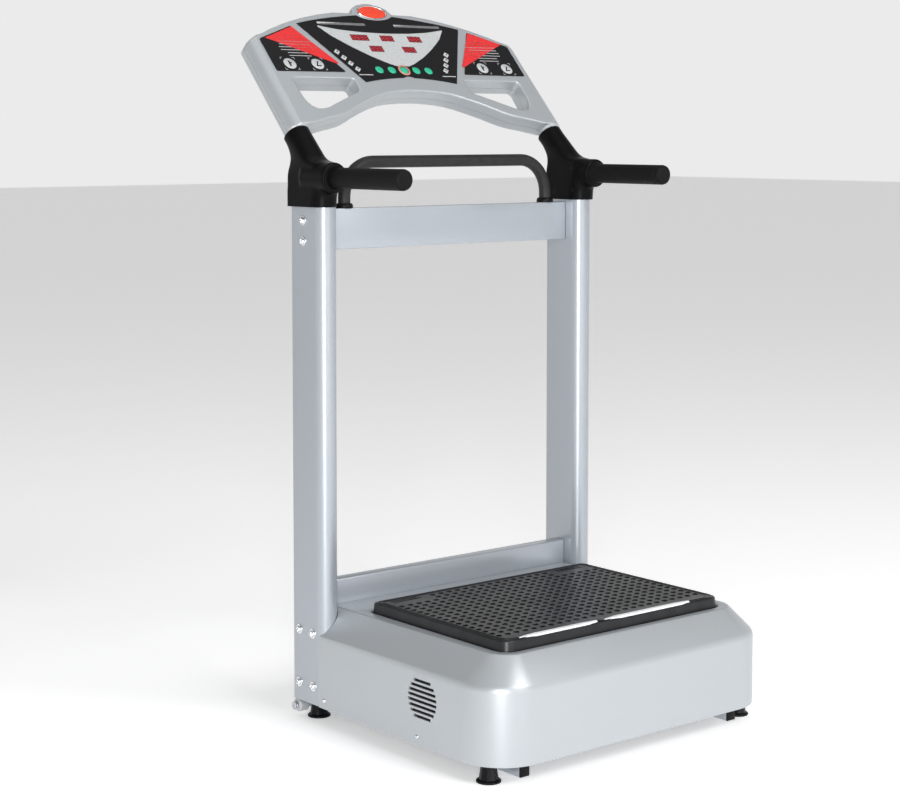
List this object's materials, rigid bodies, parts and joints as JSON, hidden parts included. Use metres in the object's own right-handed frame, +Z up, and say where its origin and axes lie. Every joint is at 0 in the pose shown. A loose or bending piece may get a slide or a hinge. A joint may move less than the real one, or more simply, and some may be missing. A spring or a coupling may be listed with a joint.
{
  "type": "vibration plate",
  "caption": "Rocking vibration plate: a dimpled tread in a low silver base, two posts with grips, cross beams, a handrail and a tilted console with keys and displays.",
  "frame": {"origin": "centre of the bounding box at floor level, under the feet", "axes": "+Z up; +X to the right of a user who stands on the tread and faces the console; +Y away from the user, from the open front of the base towards the posts"},
  "size_m": [0.6516, 0.7782, 1.2703],
  "materials": {
    "badge_red": "glossy red dome",
    "belt_rubber": "black ribbed belt",
    "black_paint": "black powder coat, satin",
    "black_plastic": "black moulded plastic, satin",
    "bright_steel": "turned steel",
    "cast_aluminium": "cast and machined aluminium",
    "circuit_board": "green circuit board with dark red display modules",
    "foam": "black foam sleeve",
    "foot_rubber": "black hard rubber",
    "grey_steel": "grey primer paint",
    "key_green": "green key cap",
    "key_silver": "silver grey key cap",
    "label_film": "printed film, dark with red, silver and white areas",
    "silver_paint": "fine silver powder coat, slightly glossy",
    "silver_plastic": "metallic silver paint on moulded plastic",
    "switch_red": "red rocker",
    "tread_rubber": "black moulded rubber with round studs",
    "wheel_plastic": "light grey moulded plastic"
  },
  "bodies": {
    "frame": {"base_cover": "silver_plastic", "front_cross_tube": "silver_paint", "rear_cross_tube": "silver_paint", "drive_frame": "silver_paint", "top_beam": "silver_paint", "rear_beam": "silver_paint", "handrail": "black_paint", "motor": "cast_aluminium", "drive_belt": "belt_rubber", "power_inlet": "black_plastic", "left_rail": "silver_paint", "left_rail_cap": "black_plastic", "left_post": "silver_paint", "left_arm_frame": "grey_steel", "left_bracket_outer": "black_plastic", "left_bracket_inner": "black_plastic", "left_grip": "foam", "left_handrail_collar": "black_plastic", "left_label": "label_film", "right_rail": "silver_paint", "right_rail_cap": "black_plastic", "right_post": "silver_paint", "right_arm_frame": "grey_steel", "right_bracket_outer": "black_plastic", "right_bracket_inner": "black_plastic", "right_grip": "foam", "right_handrail_collar": "black_plastic", "right_label": "label_film", "console_front": "silver_plastic", "console_back": "silver_plastic", "centre_label": "label_film", "badge": "badge_red", "display_board": "circuit_board"},
    "platform": {"tread_plate": "tread_rubber", "platform_frame": "grey_steel", "pivot_shaft": "bright_steel"},
    "crank": {"crankshaft": "bright_steel"},
    "front_rod": {"front_connecting_rod": "bright_steel"},
    "rear_rod": {"rear_connecting_rod": "bright_steel"},
    "motor_rotor": {"motor_pulley": "cast_aluminium"},
    "switch_rocker": {"power_switch": "switch_red"},
    "main_key_1": {"main_key_1": "key_green"},
    "main_key_2": {"main_key_2": "key_green"},
    "main_key_3": {"main_key_3": "key_green"},
    "main_key_4": {"main_key_4": "key_green"},
    "main_key_5": {"main_key_5": "key_green"},
    "left_quick_key_1": {"left_quick_key_1": "key_silver"},
    "left_quick_key_2": {"left_quick_key_2": "key_silver"},
    "left_quick_key_3": {"left_quick_key_3": "key_silver"},
    "left_quick_key_4": {"left_quick_key_4": "key_silver"},
    "right_quick_key_1": {"right_quick_key_1": "key_silver"},
    "right_quick_key_2": {"right_quick_key_2": "key_silver"},
    "right_quick_key_3": {"right_quick_key_3": "key_silver"},
    "right_quick_key_4": {"right_quick_key_4": "key_silver"},
    "front_left_foot": {"front_left_foot": "foot_rubber"},
    "front_right_foot": {"front_right_foot": "foot_rubber"},
    "rear_left_foot": {"rear_left_foot": "foot_rubber"},
    "rear_right_foot": {"rear_right_foot": "foot_rubber"},
    "left_wheel": {"left_wheel": "wheel_plastic"},
    "right_wheel": {"right_wheel": "wheel_plastic"}
  },
  "joints": [
    {"name": "platform_rock", "type": "hinge", "parent": "frame", "child": "platform", "pos_m": [0, -0.1537, 0.12], "axis": [0, 1, 0], "range_deg": [-1.6, 1.6]},
    {"name": "crank_spin", "type": "hinge", "parent": "frame", "child": "crank", "pos_m": [0.14, -0.1537, 0.1], "axis": [0, 1, 0], "continuous": true},
    {"name": "motor_spin", "type": "hinge", "parent": "frame", "child": "motor_rotor", "pos_m": [-0.13, -0.0062, 0.13], "axis": [0, 1, 0], "continuous": true},
    {"name": "front_rod_pivot", "type": "hinge", "parent": "crank", "child": "front_rod", "pos_m": [0.144, -0.2412, 0.1], "axis": [0, 1, 0], "continuous": true},
    {"name": "rear_rod_pivot", "type": "hinge", "parent": "crank", "child": "rear_rod", "pos_m": [0.144, -0.0662, 0.1], "axis": [0, 1, 0], "continuous": true},
    {"name": "power_switch_rock", "type": "hinge", "parent": "frame", "child": "switch_rocker", "pos_m": [-0.066, 0.0995, 0.122], "axis": [1, 0, 0], "range_deg": [0, 16]},
    {"name": "main_key_1_press", "type": "slide", "parent": "frame", "child": "main_key_1", "axis": [0, 0.7337, -0.6794], "range_m": [0, 0.0008], "stiffness_N_per_m": 1000},
    {"name": "main_key_2_press", "type": "slide", "parent": "frame", "child": "main_key_2", "axis": [0, 0.7337, -0.6794], "range_m": [0, 0.0008], "stiffness_N_per_m": 1000},
    {"name": "main_key_3_press", "type": "slide", "parent": "frame", "child": "main_key_3", "axis": [0, 0.7337, -0.6794], "range_m": [0, 0.0008], "stiffness_N_per_m": 1000},
    {"name": "main_key_4_press", "type": "slide", "parent": "frame", "child": "main_key_4", "axis": [0, 0.7337, -0.6794], "range_m": [0, 0.0008], "stiffness_N_per_m": 1000},
    {"name": "main_key_5_press", "type": "slide", "parent": "frame", "child": "main_key_5", "axis": [0, 0.7337, -0.6794], "range_m": [0, 0.0008], "stiffness_N_per_m": 1000},
    {"name": "left_quick_key_1_press", "type": "slide", "parent": "frame", "child": "left_quick_key_1", "axis": [0, 0.7337, -0.6794], "range_m": [0, 0.0008], "stiffness_N_per_m": 1000},
    {"name": "left_quick_key_2_press", "type": "slide", "parent": "frame", "child": "left_quick_key_2", "axis": [0, 0.7337, -0.6794], "range_m": [0, 0.0008], "stiffness_N_per_m": 1000},
    {"name": "left_quick_key_3_press", "type": "slide", "parent": "frame", "child": "left_quick_key_3", "axis": [0, 0.7337, -0.6794], "range_m": [0, 0.0008], "stiffness_N_per_m": 1000},
    {"name": "left_quick_key_4_press", "type": "slide", "parent": "frame", "child": "left_quick_key_4", "axis": [0, 0.7337, -0.6794], "range_m": [0, 0.0008], "stiffness_N_per_m": 1000},
    {"name": "right_quick_key_1_press", "type": "slide", "parent": "frame", "child": "right_quick_key_1", "axis": [0, 0.7337, -0.6794], "range_m": [0, 0.0008], "stiffness_N_per_m": 1000},
    {"name": "right_quick_key_2_press", "type": "slide", "parent": "frame", "child": "right_quick_key_2", "axis": [0, 0.7337, -0.6794], "range_m": [0, 0.0008], "stiffness_N_per_m": 1000},
    {"name": "right_quick_key_3_press", "type": "slide", "parent": "frame", "child": "right_quick_key_3", "axis": [0, 0.7337, -0.6794], "range_m": [0, 0.0008], "stiffness_N_per_m": 1000},
    {"name": "right_quick_key_4_press", "type": "slide", "parent": "frame", "child": "right_quick_key_4", "axis": [0, 0.7337, -0.6794], "range_m": [0, 0.0008], "stiffness_N_per_m": 1000},
    {"name": "front_left_foot_turn", "type": "hinge", "parent": "frame", "child": "front_left_foot", "pos_m": [-0.289, -0.3358, 0], "axis": [0, 0, 1], "continuous": true},
    {"name": "front_right_foot_turn", "type": "hinge", "parent": "frame", "child": "front_right_foot", "pos_m": [0.289, -0.3358, 0], "axis": [0, 0, 1], "continuous": true},
    {"name": "rear_left_foot_turn", "type": "hinge", "parent": "frame", "child": "rear_left_foot", "pos_m": [-0.289, 0.1254, 0], "axis": [0, 0, 1], "continuous": true},
    {"name": "rear_right_foot_turn", "type": "hinge", "parent": "frame", "child": "rear_right_foot", "pos_m": [0.289, 0.1254, 0], "axis": [0, 0, 1], "continuous": true},
    {"name": "left_wheel_roll", "type": "hinge", "parent": "frame", "child": "left_wheel", "pos_m": [-0.299, 0.1644, 0.0134], "axis": [1, 0, 0], "continuous": true},
    {"name": "right_wheel_roll", "type": "hinge", "parent": "frame", "child": "right_wheel", "pos_m": [0.299, 0.1644, 0.0134], "axis": [1, 0, 0], "continuous": true}
  ],
  "couplings": [
    {"joint": "motor_spin", "follows": "crank_spin", "ratio": 2.25},
    {"joint": "front_rod_pivot", "follows": "crank_spin", "ratio": -1},
    {"joint": "rear_rod_pivot", "follows": "crank_spin", "ratio": -1}
  ]
}
